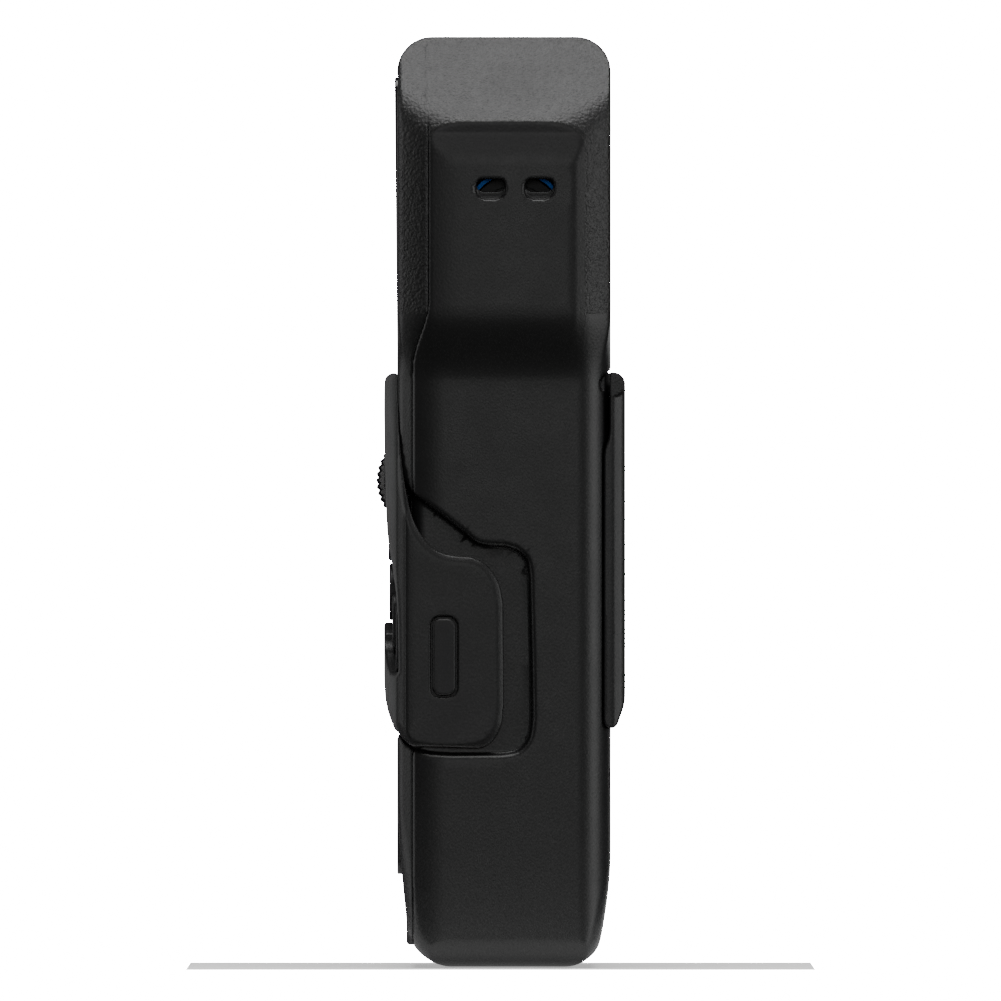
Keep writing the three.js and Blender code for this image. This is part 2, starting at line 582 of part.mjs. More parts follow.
const wheelAxle = () => bar("x", WHEEL.axle, -8.6, 10.4, WHEEL.y, WHEEL.z, 16);

function wheelEncoder() {
  const e = ENCODER;
  const can = box(e.x0, e.x1, e.front, e.back, WHEEL.z - e.half, WHEEL.z + e.half);
  return cut(can, bar("x", WHEEL.axle + SLIP, e.x0 - 1, e.x1 + 1, WHEEL.y, WHEEL.z, 16));
}

// ---------------------------------------------------------------- microphones

// A round piece on a capsule's axis, on the right.
const onCapsule = (r, x0, x1, sides = 24) => bar("x", r, x0, x1, CAPSULE.y, CAPSULE.z, sides);

function capsule(side) {
  const c = CAPSULE;
  const can = onCapsule(c.bore - GAP, c.back + 2.2, c.out - 1.2);
  return onSide(cut(can, onCapsule(c.bore - 1.8, c.out - 2, c.out)), side);
}
function capsuleRing(side) {
  const c = CAPSULE;
  return onSide(pipe("x", c.r, c.bore, c.out - 2.8, c.out, c.y, c.z, 28), side);
}
function capsuleBoot(side) {
  const c = CAPSULE;
  const cup = onCapsule(c.r, c.back, c.out - 2.8 - GAP);
  return onSide(cut(cup, onCapsule(c.bore, c.back + 1.8, c.out)), side);
}

// Holds the two boots apart: a frame between them, and a cross plate that divides the head.
function capsuleBridge() {
  const b = BEAM;
  const frame = cut(slab(b.half, b.front, b.back, b.low, b.high),
    slab(b.half - b.rail, b.front - 1, b.back + 1, b.low + b.rail, b.high - b.rail));
  return join(frame, slab(1, BOARD.back + GAP, BACK - WALL - 2 * GAP, HEAD_LOW, HEAD_HIGH + 3));
}

// ---------------------------------------------------------------- inside

function mainBoard() {
  const b = BOARD;
  const plate = slab(b.half, b.front, b.back, b.low, b.high);
  return cut(plate, box(-9, 12.9, -20, 0, 66, 89), box(-THROUGH, -22.5, -20, 0, 60, 80),
    bar("y", SPEAKER.r + 2 * GAP, -20, 0, 0, SPEAKER.z, 20),
    ...POSTS.map((p) => bar("y", POST.boss + GAP, -20, 0, p.x, p.z, 12)));
}
function keyMat() {
  const m = KEY_MAT;
  return prismY(pill(0, m.z, m.half, m.high, m.corner), FLOOR_BACK + KEY_TRAVEL + SLIP, m.back);
}
function speaker() {
  const s = SPEAKER;
  const back = s.front + s.flange;
  return join(bar("y", s.r, s.front, back, 0, s.z, 28),
    bar("y", s.cone, back - 0.1, s.front + s.deep, 0, s.z, 24));
}
function usbSocket() {
  const u = USB;
  return cut(box(u.x0, u.x1, u.front, u.back, u.low, u.high),
    box(u.x0 + u.skin, u.x1 - u.skin, u.front + u.skin, u.back - u.skin, u.low - 1, u.high - u.skin));
}
function cardSocket() {
  const c = CARD;
  const room = c.cardHalf + 0.2;
  return cut(box(c.x - c.half, c.x + c.half, c.front, c.back, c.low, c.high),
    box(c.x - room, c.x + room, c.cardFront - GAP, c.cardBack + GAP, c.low - 1, c.high - c.skin));
}
function memoryCard() {
  const c = CARD;
  return prismY(pill(c.x, c.cardZ, c.cardHalf, c.cardHigh, 0.6, 2), c.cardFront, c.cardBack);
}
function jack(j) {
  const k = JACK;
  const body = box(k.x0, k.x1, k.y - k.half, k.y + k.half, j.z - k.half, j.z + k.half);
  const barrel = bar("x", k.out, k.face, k.x0 + 1, k.y, j.z, 20);
  return cut(join(body, barrel), bar("x", k.bore, -THROUGH, k.end, k.y, j.z, 16));
}
function powerSlider() {
  const s = SLIDER;
  const cap = prismX(pill(s.y, s.z, s.half, s.high, s.corner, 2), s.out, s.in);
  const wide = s.half - 0.5;
  const ribs = [-2.4, -0.8, 0.8, 2.4].map((dz) =>
    box(s.out - 0.4, s.out + 0.2, s.y - wide, s.y + wide, s.z + dz - s.rib, s.z + dz + s.rib));
  const stem = box(s.in - 0.2, s.foot - s.rib, s.y - s.stem, s.y + s.stem, s.z - 2, s.z + 2);
  const foot = box(s.foot - s.footThick, s.foot, s.y - 1.9, s.y + 1.9, s.z - 3, s.z + 3);
  return join(cap, ...ribs, stem, foot);
}
function slideSwitch() {
  const s = SLIDER;
  const w = SWITCH;
  return box(w.x0, w.x1, s.y - w.half, s.y + w.half, s.z - w.below, s.z + w.above);
}

// ---------------------------------------------------------------- battery side

function batteryDoor() {
  const d = DOOR;
  const l = LATCH;
  const plan = section([[d.half, d.skirtFront], [d.half, 17.8], [26.2, 19.3], [24.9, d.back]]);
  const plate = prismZ(outlineOf(plan), d.low, HINGE.z);
  const hollow = slab(d.skirt, 0, d.inner, 0, 100);
  const offSkirt = join(slab(THROUGH, 0, d.inner, 0, d.skirtLow), slab(THROUGH, 0, d.inner, d.skirtHigh, 99));
  const taper = prismX(outlineOf([[d.back + 1, d.taper], [d.back, d.taper], [d.foot, d.low],
    [d.foot, 30], [d.back + 1, 30]]), -THROUGH, THROUGH);
  const earRoom = bothSides(box(HINGE.barrel, THROUGH, 0, THROUGH, HINGE.z - HINGE.r - GAP, 100));
  const latchSeat = slab(l.half + GAP, l.seat, THROUGH, l.low - l.travel - GAP, l.high + GAP);
  const latchSlot = slab(l.slot, 0, THROUGH, l.low + 1.1 - l.travel, l.low + 3.9);
  const barrel = bar("x", HINGE.r, -HINGE.barrel, HINGE.barrel, HINGE.y, HINGE.z, 20);
  return cut(join(cut(plate, hollow, offSkirt, taper, earRoom), barrel), latchSeat, latchSlot,
    bar("x", HINGE.pin + SLIP, -THROUGH, THROUGH, HINGE.y, HINGE.z, 12));
}
function doorLatch() {
  const l = LATCH;
  const face = l.face + l.thick;
  const cap = slab(l.half, l.face, face, l.low, l.high);
  const ribs = [2.4, 4.0, 5.6].map((dz) =>
    slab(l.ribHalf, face - 0.1, face + GAP, l.low + dz - l.rib, l.low + dz + l.rib));
  const stem = slab(l.stem, l.hookFront + 0.4, l.face + 0.2, l.low + 1.4, l.low + 3.6);
  const hook = slab(l.stem, l.hookFront, l.hookBack, l.hook, l.low + 3.6);
  return join(cap, ...ribs, stem, hook);
}
const doorPin = () => bar("x", HINGE.pin, -HINGE.pinHalf, HINGE.pinHalf, HINGE.y, HINGE.z, 12);

function cell(x, up) {
  const c = CELL;
  const end = c.low + c.long;
  const mid = c.low + (c.long + c.nub) / 2;
  const upright = join(bar("z", c.r, c.low, end, x, c.y, 24),
    bar("z", c.nubR, end - 1, end + c.nub, x, c.y, 16));
  return up ? upright : upright.translate([0, 0, -mid]).mirror([0, 0, 1]).translate([0, 0, mid]);
}
function contactBridge() {
  const c = CONTACT;
  return slab(c.bridge, CELL.y - c.bridgeDeep, CELL.y + c.bridgeDeep, c.bridgeZ, c.bridgeZ + c.thick);
}
function contact(x) {
  const c = CONTACT;
  const low = WELL.low + 0.1;
  const plate = box(x - c.half, x + c.half, CELL.y - c.deep, CELL.y + c.deep, low, low + c.thick);
  return join(plate, bar("z", c.spring, low + c.thick - 0.1, CELL.low - 0.1, x, CELL.y, 16));
}
function tripodInsert() {
  const t = TRIPOD;
  const body = bar("y", t.out, t.front, BACK - 0.2, 0, t.z, 24);
  return cut(body, bar("y", t.bore, t.front + 1, THROUGH, 0, t.z, 20));
}
function caseScrew(p) {
  const s = SCREW;
  const face = s.seat + 0.1 + s.high;
  const shank = bar("y", s.shank, s.tip, s.seat + 0.5, p.x, p.z, 12);
  const head = bar("y", s.head, s.seat + 0.1, face, p.x, p.z, 16);
  const driver = join(
    box(p.x - s.cross, p.x + s.cross, face - 0.8, face + 1, p.z - s.slot, p.z + s.slot),
    box(p.x - s.slot, p.x + s.slot, face - 0.8, face + 1, p.z - s.cross, p.z + s.cross),
  );
  return cut(join(shank, head), driver);
}
function portFlap() {
  const f = FLAP;
  const plate = box(f.left, f.right, f.front, f.y, f.low, f.top);
  const barrel = bar("x", f.r, f.left, f.right, f.y, f.z - 0.2, 14);
  const pegs = bar("x", f.peg, f.left - f.pegLong, f.right + f.pegLong, f.y, f.z, 10);
  const plug = box(4, 15, -6.1, -4.5, f.top - 0.1, f.top + f.plug - 0.1);
  return join(plate, barrel, pegs, plug);
}

// ---------------------------------------------------------------- assembly

const recorder = new THREE.Group();
recorder.name = "portable_field_recorder";
function add(name, shape, material) {
  const mesh = new THREE.Mesh(geometryOf(shape), material.clone());
  mesh.name = name;
  recorder.add(mesh);
}

const form = housingForm();
const hollow = cavity();
add("front_shell", frontShell(form, hollow), SHELL);
add("rear_shell", rearShell(form, hollow), SHELL);
add("control_cover", controlCover(), SOFT);
add("display_window", frontPlate(WINDOW), GLOSS);
add("display_module", displayModule(), LIGHT);
add("speaker_grille", speakerGrille(), SHELL);
add("thumbwheel", thumbwheel(), GLOSS);
add("wheel_axle", wheelAxle(), STEEL);
add("wheel_encoder", wheelEncoder(), DARK_STEEL);
for (const k of KEYS) add(k.name, frontKey(k), k.name === "key_record" ? RED : SOFT);
add("side_key_right", sideKey(1), SOFT);
add("side_key_left", sideKey(-1), SOFT);
for (const [name, side] of [["right", 1], ["left", -1]]) {
  add(`capsule_${name}`, capsule(side), STEEL);
  add(`capsule_ring_${name}`, capsuleRing(side), BLUE_METAL);
  add(`capsule_boot_${name}`, capsuleBoot(side), SOFT);
}
add("capsule_bridge", capsuleBridge(), SHELL);
add("main_board", mainBoard(), SOLDER_MASK);
add("key_mat", keyMat(), LIGHT);
add("speaker", speaker(), DARK_STEEL);
add("usb_socket", usbSocket(), STEEL);
add("card_socket", cardSocket(), STEEL);
add("memory_card", memoryCard(), SHELL);
for (const j of JACKS) add(j.name, jack(j), SHELL);
add("power_slider", powerSlider(), SOFT);
add("slide_switch", slideSwitch(), DARK_STEEL);
add("battery_door", batteryDoor(), SHELL);
add("door_latch", doorLatch(), SOFT);
add("door_pin", doorPin(), STEEL);
add("cell_left", cell(-CELL.x, true), CELL_SKIN);
add("cell_right", cell(CELL.x, false), CELL_SKIN);
add("contact_bridge", contactBridge(), STEEL);
add("contact_left", contact(-CELL.x), STEEL);
add("contact_right", contact(CELL.x), STEEL);
add("tripod_insert", tripodInsert(), BRASS);
for (const p of POSTS) add(p.name, caseScrew(p), DARK_STEEL);
add("port_flap", portFlap(), SOFT);

export default recorder;
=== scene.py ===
import math

import bpy
import numpy as np
import openvdb as vdb
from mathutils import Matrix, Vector


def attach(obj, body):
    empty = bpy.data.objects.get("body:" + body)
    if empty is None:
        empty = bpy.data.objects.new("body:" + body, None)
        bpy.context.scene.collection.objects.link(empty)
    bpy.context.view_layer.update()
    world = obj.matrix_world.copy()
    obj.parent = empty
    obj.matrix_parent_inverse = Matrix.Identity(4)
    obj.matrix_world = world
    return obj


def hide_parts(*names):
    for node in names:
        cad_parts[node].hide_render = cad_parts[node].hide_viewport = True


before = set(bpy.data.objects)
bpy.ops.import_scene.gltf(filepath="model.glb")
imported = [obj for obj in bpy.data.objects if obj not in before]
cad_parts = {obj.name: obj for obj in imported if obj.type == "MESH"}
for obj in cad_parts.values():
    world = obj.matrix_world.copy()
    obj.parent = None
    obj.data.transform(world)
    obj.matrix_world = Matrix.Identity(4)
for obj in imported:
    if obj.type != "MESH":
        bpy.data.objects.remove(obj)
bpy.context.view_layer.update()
MM = 0.001
F = np.float32
POLY_PASSES = 3
BAND = 3  # cells of distance kept on either side of a surface

# ------------------------------------------------------------------ distance-field kit (mm)


class Grid:
    """The sampling box of one piece: X, Y and Z are open grids that broadcast to the whole box."""

    def __init__(self, lo, hi, step):
        self.lo, self.step = np.array(lo, float), step
        n = [int(math.ceil((b - a) / step)) + 1 for a, b in zip(lo, hi)]
        x, y, z = (F(a) + F(step) * np.arange(k, dtype=F) for a, k in zip(lo, n))
        self.X, self.Y, self.Z = x[:, None, None], y[None, :, None], z[None, None, :]
        self.A = np.abs(self.X)


def both(a, b, r=0.0):
    """Intersection with a round edge of radius r."""
    if np.ndim(r) == 0 and r <= 0:
        return np.maximum(a, b)
    r = np.asarray(r, F)
    u, v = np.maximum(a + r, 0), np.maximum(b + r, 0)
    return np.minimum(np.maximum(a, b), -r) + np.sqrt(u * u + v * v)


def either(a, b, r=0.0):
    """Union with a hollow fillet of radius r."""
    return -both(-a, -b, r)


def less(a, b, r=0.0):
    """What is left of a when b is cut from it."""
    return both(a, -b, r)


def soft(a, b, k):
    """Intersection eased over a height k, for faces that meet at a wide angle."""
    h = np.maximum(F(k) - np.abs(a - b), 0)
    return np.maximum(a, b) + h * h / F(4 * k)


def ease(t):
    """0 to 1 as t goes from 0 to 1, level at both ends."""
    t = np.clip(t, 0, 1)
    return t * t * (3 - 2 * t)


def hyp(a, b):
    return np.sqrt(a * a + b * b)


def pill(P, Q, cx, cy, hx, hy, r):
    """A rectangle with round corners, by its centre and half sizes."""
    u, v = np.abs(P - F(cx)) - F(hx - r), np.abs(Q - F(cy)) - F(hy - r)
    return hyp(np.maximum(u, 0), np.maximum(v, 0)) + np.minimum(np.maximum(u, v), 0) - F(r)


def span(W, a, b):
    """The slab between a and b."""
    return np.maximum(F(a) - W, W - F(b))


def block(g, x, y, z, r=0.0):
    return both(both(span(g.X, *x), span(g.Y, *y), r), span(g.Z, *z), r)


def rod(P, Q, W, p, q, rad, a, b, r=0.0):
    """A round bar about (p, q) that runs from a to b along W."""
    return both(hyp(P - F(p), Q - F(q)) - F(rad), span(W, a, b), r)


def curve(points, steps=8):
    """Catmull-Rom points through an open run of points."""
    p = [np.array(q, float) for q in points]
    p = [2 * p[0] - p[1]] + p + [2 * p[-1] - p[-2]]
    out = []
    for a, b, c, d in zip(p, p[1:], p[2:], p[3:]):
        for i in range(steps):
            t = i / steps
            square, cube = 2 * a - 5 * b + 4 * c - d, 3 * b - a - 3 * c + d
            out.append(0.5 * (2 * b + (c - a) * t + square * t * t + cube * t**3))
    return [tuple(v) for v in out + [p[-2]]]


def poly(P, Q, pts):
    """The inside of a closed outline, its corners softened by averaging over the grid."""
    P, Q = np.broadcast_arrays(P, Q)
    d, inside = np.full(P.shape, 1e9, F), np.zeros(P.shape, bool)
    for (ax, ay), (bx, by) in zip(pts, pts[1:] + pts[:1]):
        ex, ey = bx - ax, by - ay
        wx, wy = P - F(ax), Q - F(ay)
        t = np.clip((wx * F(ex) + wy * F(ey)) / F(ex * ex + ey * ey + 1e-12), 0, 1)
        d = np.minimum(d, (wx - F(ex) * t) ** 2 + (wy - F(ey) * t) ** 2)
        if ay != by:
            inside ^= ((Q >= min(ay, by)) & (Q < max(ay, by))) & (P < F(ax) + (Q - F(ay)) * F(ex / ey))
    f = np.where(inside, F(-1), F(1)) * np.sqrt(d)
    for axis in (0, 1, 2) * POLY_PASSES:
        if f.shape[axis] > 2:
            g = np.moveaxis(f, axis, 0)
            g[1:-1] = (g[:-2] + 2 * g[1:-1] + g[2:]) / 4
    return f


def plane(P, Q, p, q, n):
    """The half space behind the plane through (p, q) with normal n."""
    k = math.hypot(*n)
    return F(n[0] / k) * (P - F(p)) + F(n[1] / k) * (Q - F(q))


def sample(f, idx):
    """The field at points between its grid points."""
    i = np.clip(np.floor(idx).astype(int), 0, np.array(f.shape) - 2)
    t = (idx - i).astype(F)
    x, y, z = i.T
    a, b, c = t.T
    out = 0
    for dx, wx in ((0, 1 - a), (1, a)):
        for dy, wy in ((0, 1 - b), (1, b)):
            for dz, wz in ((0, 1 - c), (1, c)):
                out = out + f[x + dx, y + dy, z + dz] * wx * wy * wz
    return out


def mesh(name, g, f, body, mat, *nodes, fine=0.01):
    """Meshes the field, shades it by the field's own slope, and puts it on its body."""
    h = g.step
    f = np.clip(f, -BAND * h, BAND * h).astype(F)
    grid = vdb.FloatGrid(BAND * h)
    grid.copyFromArray(f)
    pts, tris, quads = grid.convertToPolygons(isovalue=0.0, adaptivity=fine)
    e = np.eye(3) * 0.6
    nrm = np.stack([sample(f, pts + e[k]) - sample(f, pts - e[k]) for k in range(3)], 1)
    nrm /= np.maximum(np.linalg.norm(nrm, axis=1, keepdims=True), 1e-9)
    me = bpy.data.meshes.new(name)
    me.vertices.add(len(pts))
    me.vertices.foreach_set("co", ((g.lo + pts * h) * MM).astype(F).ravel())
    tri, quad = np.asarray(tris, np.int32), np.asarray(quads, np.int32)
    q = quad if len(quad) else tri
    face = np.cross(pts[q[:, 1]] - pts[q[:, 0]], pts[q[:, 2]] - pts[q[:, 0]])
    if np.sum(face * nrm[q[:, 0]]) < 0:
        tri, quad = tri[:, ::-1], quad[:, ::-1]
    loops = np.concatenate([tri.ravel(), quad.ravel()]).astype(np.int32)
    counts = np.concatenate([np.full(len(tri), 3), np.full(len(quad), 4)])
    me.loops.add(len(loops))
    me.loops.foreach_set("vertex_index", loops)
    me.polygons.add(len(counts))
    me.polygons.foreach_set("loop_start", np.concatenate([[0], np.cumsum(counts)[:-1]]).astype(np.int32))
    me.polygons.foreach_set("use_smooth", np.ones(len(counts), bool))
    me.update()
    me.validate()
    me.normals_split_custom_set_from_vertices(nrm)
    me.materials.append(mat)
    ob = bpy.data.objects.new(name, me)
    bpy.context.scene.collection.objects.link(ob)
    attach(ob, body)
    if nodes:
        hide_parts(*nodes)
    print(name, len(pts), len(counts))
    return ob


# ------------------------------------------------------------------ finishes


def math_node(nt, kind, *values):
    x = nt.nodes.new("ShaderNodeMath")
    x.operation = kind
    for i, v in enumerate(values):
        if isinstance(v, (int, float)):
            x.inputs[i].default_value = v
        else:
            nt.links.new(v, x.inputs[i])
    return x.outputs[0]


def finish_material(name, color, rough, metal=0.0, grain=(0.10, 2600), mottle=0.12, coat=0.0,
                    stripe=None, coarse=None):
    """A moulded, plated or rubber surface: specks, clouds and an uneven gloss, with a fine bump.

    grain is the bump's strength and the specks' scale, and mottle how far the colour strays. stripe
    paints over part of the colour, and coarse says where the bump is coarser.
    """
    m = bpy.data.materials.new(name)
    m.use_nodes = True
    nt = m.node_tree
    n = nt.nodes
    bsdf = n["Principled BSDF"]
    bsdf.inputs["Metallic"].default_value = metal
    bsdf.inputs["Coat Weight"].default_value = coat
    tex = n.new("ShaderNodeTexCoord")

    def noise(scale, detail, rough_=0.55):
        t = n.new("ShaderNodeTexNoise")
        t.inputs["Scale"].default_value = scale
        t.inputs["Detail"].default_value = detail
        t.inputs["Roughness"].default_value = rough_
        nt.links.new(tex.outputs["Object"], t.inputs["Vector"])
        return t.outputs["Fac"]

    def ramp(src, lo, hi):
        r = n.new("ShaderNodeMapRange")
        r.inputs["From Min"].default_value = 0.3
        r.inputs["From Max"].default_value = 0.7
        r.inputs["To Min"].default_value = lo
        r.inputs["To Max"].default_value = hi
        nt.links.new(src, r.inputs["Value"])
        return r.outputs["Result"]

    def mix(fac, a, b):
        x = n.new("ShaderNodeMix")
        x.data_type = "RGBA"
        x.inputs["A"].default_value = (*a, 1)
        x.inputs["B"].default_value = (*b, 1)
        nt.links.new(fac, x.inputs["Factor"])
        return x.outputs["Result"]

    amount, scale = grain
    speck = noise(scale, 3)
    cloud = noise(60, 4)
    dark = tuple(c * (1 - mottle) for c in color)
    pale = tuple(min(1, c * (1 + mottle)) for c in color)
    mottling = math_node(nt, "ADD", ramp(speck, 0, 0.88), ramp(cloud, 0, 0.12))
    colour = mix(mottling, dark, pale)
    if stripe:
        colour = stripe(nt, tex, colour)
    nt.links.new(colour, bsdf.inputs["Base Color"])
    gloss = ramp(noise(180, 5), max(0.02, rough - 0.02), min(1, rough + 0.02))
    nt.links.new(gloss, bsdf.inputs["Roughness"])
    if amount:
        bump = n.new("ShaderNodeBump")
        bump.inputs["Strength"].default_value = amount
        bump.inputs["Distance"].default_value = 0.00006
        height = speck
        if coarse:
            zone = math_node(nt, "MULTIPLY", noise(2300, 2), coarse(nt, tex))
            height = math_node(nt, "MULTIPLY_ADD", zone, 5.0, speck)
        nt.links.new(height, bump.inputs["Height"])
        nt.links.new(bump.outputs["Normal"], bsdf.inputs["Normal"])
    return m


def surround_zone(nt, tex):
    """1 on the head's sloping surround, 0 on the flat side panels and the grip."""
    sep = nt.nodes.new("ShaderNodeSeparateXYZ")
    nt.links.new(tex.outputs["Object"], sep.inputs[0])
    wide = math_node(nt, "LESS_THAN", math_node(nt, "ABSOLUTE", sep.outputs["X"], 0.0), 0.03027)
    return math_node(nt, "MULTIPLY", wide, math_node(nt, "GREATER_THAN", sep.outputs["Z"], 0.104))


def tint_inside(mask, paint):
    """Paints the colour inside a mask made from the piece's own coordinates."""
    def apply(nt, tex, colour):
        sep = nt.nodes.new("ShaderNodeSeparateXYZ")
        nt.links.new(tex.outputs["Object"], sep.inputs[0])
        x = nt.nodes.new("ShaderNodeMix")
        x.data_type = "RGBA"
        x.inputs["B"].default_value = (*paint, 1)
        nt.links.new(mask(nt, sep), x.inputs["Factor"])
        nt.links.new(colour, x.inputs["A"])
        return x.outputs["Result"]
    return apply


def screen_area(nt, sep):
    """The lit part of the display, seen through its window."""
    wide = math_node(nt, "LESS_THAN", math_node(nt, "ABSOLUTE", sep.outputs["X"], 0.0), 0.0172)
    z = math_node(nt, "ABSOLUTE", math_node(nt, "SUBTRACT", sep.outputs["Z"], 0.1205), 0.0)
    return math_node(nt, "MULTIPLY", wide, math_node(nt, "LESS_THAN", z, 0.0135))


def record_dot(nt, sep):
    """The red dot in the middle of the record key."""
    z = math_node(nt, "SUBTRACT", sep.outputs["Z"], 0.0597)
    x = sep.outputs["X"]
    r2 = math_node(nt, "ADD", math_node(nt, "MULTIPLY", z, z), math_node(nt, "MULTIPLY", x, x))
    return math_node(nt, "LESS_THAN", r2, 0.0021**2)


def cell_top(nt, sep):
    """The copper-coloured end of a cell."""
    return math_node(nt, "GREATER_THAN", sep.outputs["Z"], 0.074)


SHELL = finish_material("shell_grain", (0.0060, 0.0060, 0.0064), 0.40, grain=(0.55, 3200), mottle=0.22,
                        coarse=surround_zone)
COVER = finish_material("cover_matt", (0.0058, 0.0058, 0.0062), 0.42, grain=(0.5, 3600), mottle=0.2)
GLOSS = finish_material("window_gloss", (0.002, 0.002, 0.0025), 0.10, grain=(0.02, 900), mottle=0.1, coat=0.3,
                        stripe=tint_inside(screen_area, (0.010, 0.012, 0.011)))
WHEELM = finish_material("wheel_gloss", (0.006, 0.006, 0.0065), 0.16, grain=(0.08, 2600))
KEYM = finish_material("key_rubber", (0.0075, 0.0075, 0.008), 0.5, grain=(0.4, 3800), mottle=0.2)
REDM = finish_material("record_key_rubber", (0.0075, 0.0075, 0.008), 0.45, grain=(0.3, 3800), mottle=0.2,
                       stripe=tint_inside(record_dot, (0.42, 0.012, 0.010)))
STEEL = finish_material("plated_steel", (0.62, 0.63, 0.64), 0.25, 1.0, grain=(0.15, 1800), mottle=0.06)
BLUE = finish_material("blue_anodised", (0.008, 0.04, 0.14), 0.4, 1.0, grain=(0.15, 2500))
CANM = finish_material("capsule_can", (0.004, 0.004, 0.0045), 0.55, 0.0, grain=(0.6, 2800))
BRASS = finish_material("turned_brass", (0.62, 0.43, 0.17), 0.28, 1.0, grain=(0.15, 2200))
GREEN = finish_material("board_green", (0.01, 0.10, 0.04), 0.35, grain=(0.2, 1500), coat=0.3)
DARKM = finish_material("dark_plated", (0.04, 0.042, 0.046), 0.35, 0.8, grain=(0.2, 2400))
INNER = finish_material("inner_black", (0.006, 0.006, 0.0065), 0.6, grain=(0.3, 3000))
CELLM = finish_material("cell_sleeve", (0.012, 0.012, 0.014), 0.25, 0.3, grain=(0.08, 900), coat=0.4,
                        stripe=tint_inside(cell_top, (0.5, 0.22, 0.06)))

# ------------------------------------------------------------------ housing

BEZEL, BACK, TOP = -16.5, 17.6, 148.3
GRIP_HALF, HEAD_HALF, PANEL_EDGE = 28.5, 31.0, 30.4
SHOULDER = 134.6  # lower edge of the sloping shoulders
HINGE = (17.95, 92.8)
KNUCKLE = 1.95
WHEEL = (-11.9, 77.5)
CELL_Y = 9.6


def outline(g):
    """The closed housing, without anything cut into it."""
    A, Y, Z = g.A, g.Y, g.Z
    front, back = F(BEZEL) - Y, Y - F(BACK)
    grip = soft(A - F(GRIP_HALF), plane(A, Y, GRIP_HALF, -11.0, (0.94, -0.34)), 0.9)
    grip = soft(grip, plane(A, Y, 27.45, -13.9, (0.80, -0.60)), 0.15)
    grip = both(grip, front, 0.9)
    grip = both(grip, back, 5.6)
    # the head's side panel dips towards its top and front edges, inside a sloping surround
    low = F(SHOULDER) - Z
    dip = np.where(low > 1.9, F(0.72) * np.clip((F(6.9) - low) / F(5), 0, 1), F(0.60) + F(0.065) * low)
    dip = soft(dip, F(0.62) * np.clip((F(-4.2) - Y) / F(7.2), 0, 1) ** 2, 0.12)
    flank = soft(plane(A, Y, PANEL_EDGE, -11.4, (0.93, -0.37)), plane(A, Y, 29.3, -14.2, (0.80, -0.60)), 0.8)
    facet = plane(A, Z, PANEL_EDGE, SHOULDER, (0.741, 0.671))
    surround = soft(facet, flank, 2.6)
    rear = soft(plane(A, Y, 30.75, 12.2, (0.93, 0.37)), plane(A, Y, 30.1, 13.9, (0.85, 0.527)), 0.12)
    surround = soft(surround, rear, 2.6)
    head = soft(A - F(HEAD_HALF) + dip, surround, 0.22)
    head = both(head, front, 0.9)
    head = soft(head, back, 0.5)
    t = ease((Z - F(92.9)) / F(11.8))
    side = grip + (head - grip) * t
    top = Z - F(TOP)
    lid = both(both(front, top, 5.6), both(back, top, 5.6))
    chin, heel = plane(Y, Z, -16.4, 14.2, (-0.985, -0.17)), plane(Y, Z, BACK, 9, (0.958, -0.287))
    low = both(both(-Z, chin, 6.2), heel, 4.4)
    foot = both(both(side, low, 2.6), both(A - F(GRIP_HALF) - F(0.3) * np.maximum(Z - F(20), 0), -Z, 5.0))
    return both(both(foot, lid), both(front, low, 1.0)), front


def cover_core(g, d=0.0):
    """The part of the housing that the control cover wraps round."""
    return both(g.A - F(27.1 + d), F(-14.6 - d) - g.Y, 2.6)


# Side outlines in Y and Z: the pocket for the cover's wing, the cover itself, and the door's front edge.
POCKET = (
    [(-60, 94.8), (-17.2, 94.8)]
    + curve([(-17.2, 92), (-16.8, 84), (-16.1, 80), (-15.2, 77.4)])
    + curve([(-13.95, 75.2), (-10.0, 72.3), (-6.2, 69.4), (-4.2, 67.7), (-2.4, 67.1), (0.6, 67.0)])
    + curve([(2.6, 66.4), (4.1, 64.9), (4.6, 62.6)])
    + [(4.9, 50)]
    + curve([(5.05, 39.6), (4.5, 36.3), (2.7, 34.4), (0.4, 33.9)])
    + [(-7.9, 33.85)]
    + curve([(-11, 34.05), (-13.7, 34.8), (-15.3, 35.9), (-16.6, 37.5)])
    + [(-60, 37.6)]
)
SIDE = (
    [(-60, 94.7), (-16.42, 94.7)]
    + curve([(-16.38, 92), (-16.02, 84), (-15.48, 78.5), (-14.6, 73.6), (-13.4, 70.2), (-11.4, 67.3),
             (-9.2, 65.9), (-6.8, 65.4)])
    + curve([(-4.6, 65.3), (-2.2, 64.0), (-0.4, 61.4), (0.4, 58)])
    + curve([(0.5, 41.6), (0.05, 38.4), (-1.2, 36.2), (-3.2, 34.9), (-7.9, 34.25)])
    + curve([(-10.6, 34.45), (-13.7, 35.0), (-15.3, 36.1), (-16.6, 37.7)])
    + [(-60, 37.8)]
)
SKIRT = (
    [(60, 94.9), (17.35, 94.9)]
    + curve([(17.35, 88), (17.33, 85.4), (17.15, 84.0), (16.75, 83.0), (16.45, 81.6)], 4)
    + curve([(16.4, 40), (16.5, 38.7), (17.1, 38.05), (18.0, 37.9)], 4)
    + [(60, 37.9)]
)


def well(g):
    """What is cut out of the housing for the control cover."""
    return less(poly(g.Y, g.Z, POCKET), cover_core(g), 0.4)


def seam(g):
    """Positive behind the line where the two shells part, which steps forward below the head."""
    return g.Y - (F(-13.9) + F(2.5) * ease((g.Z - F(95.5)) / F(10.5)))


def parted(g, f, s):
    """One shell's side of the seam: a fine groove along the flanks, flush across the top."""
    groove = F(0.12) * (1 - ease((g.Z - F(133.6)) / F(1.2))) + F(0.004)
    return both(f, s, groove)


